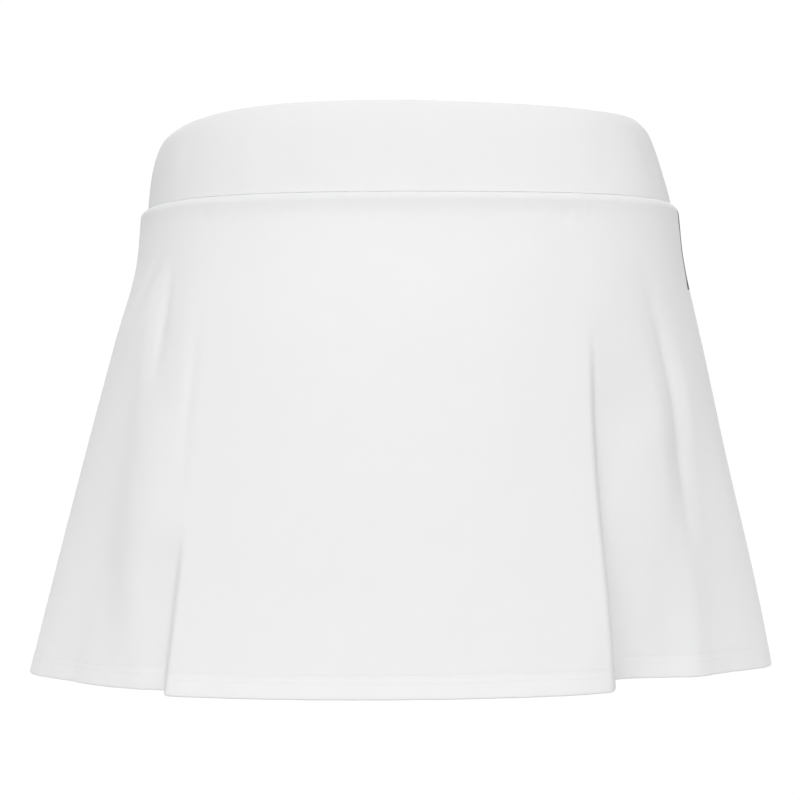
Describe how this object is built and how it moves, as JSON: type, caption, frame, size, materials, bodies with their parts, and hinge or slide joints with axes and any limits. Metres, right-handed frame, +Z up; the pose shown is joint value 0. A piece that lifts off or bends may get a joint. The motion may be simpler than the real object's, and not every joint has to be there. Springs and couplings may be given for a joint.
{
  "type": "tennis skirt",
  "caption": "Short flared tennis skirt in its worn form: doubled waistband, soft hanging folds and a turned-up hem, open at the waist and at the hem.",
  "frame": {"origin": "middle of the waist opening, halfway up the waistband, where the wearer's waist holds the skirt", "axes": "+Z up out of the waist opening, -Y the wearer's front, +X the wearer's left side and the widest way across the hem"},
  "size_m": [0.4541, 0.2931, 0.3373],
  "materials": {
    "waistband_knit": "matte white smooth knit, doubled over elastic",
    "skirt_knit": "matte white smooth knit, single layer"
  },
  "bodies": {
    "root": {"waistband_front": "waistband_knit", "waistband_back": "waistband_knit", "skirt_front": "skirt_knit", "skirt_back": "skirt_knit"}
  },
  "joints": []
}
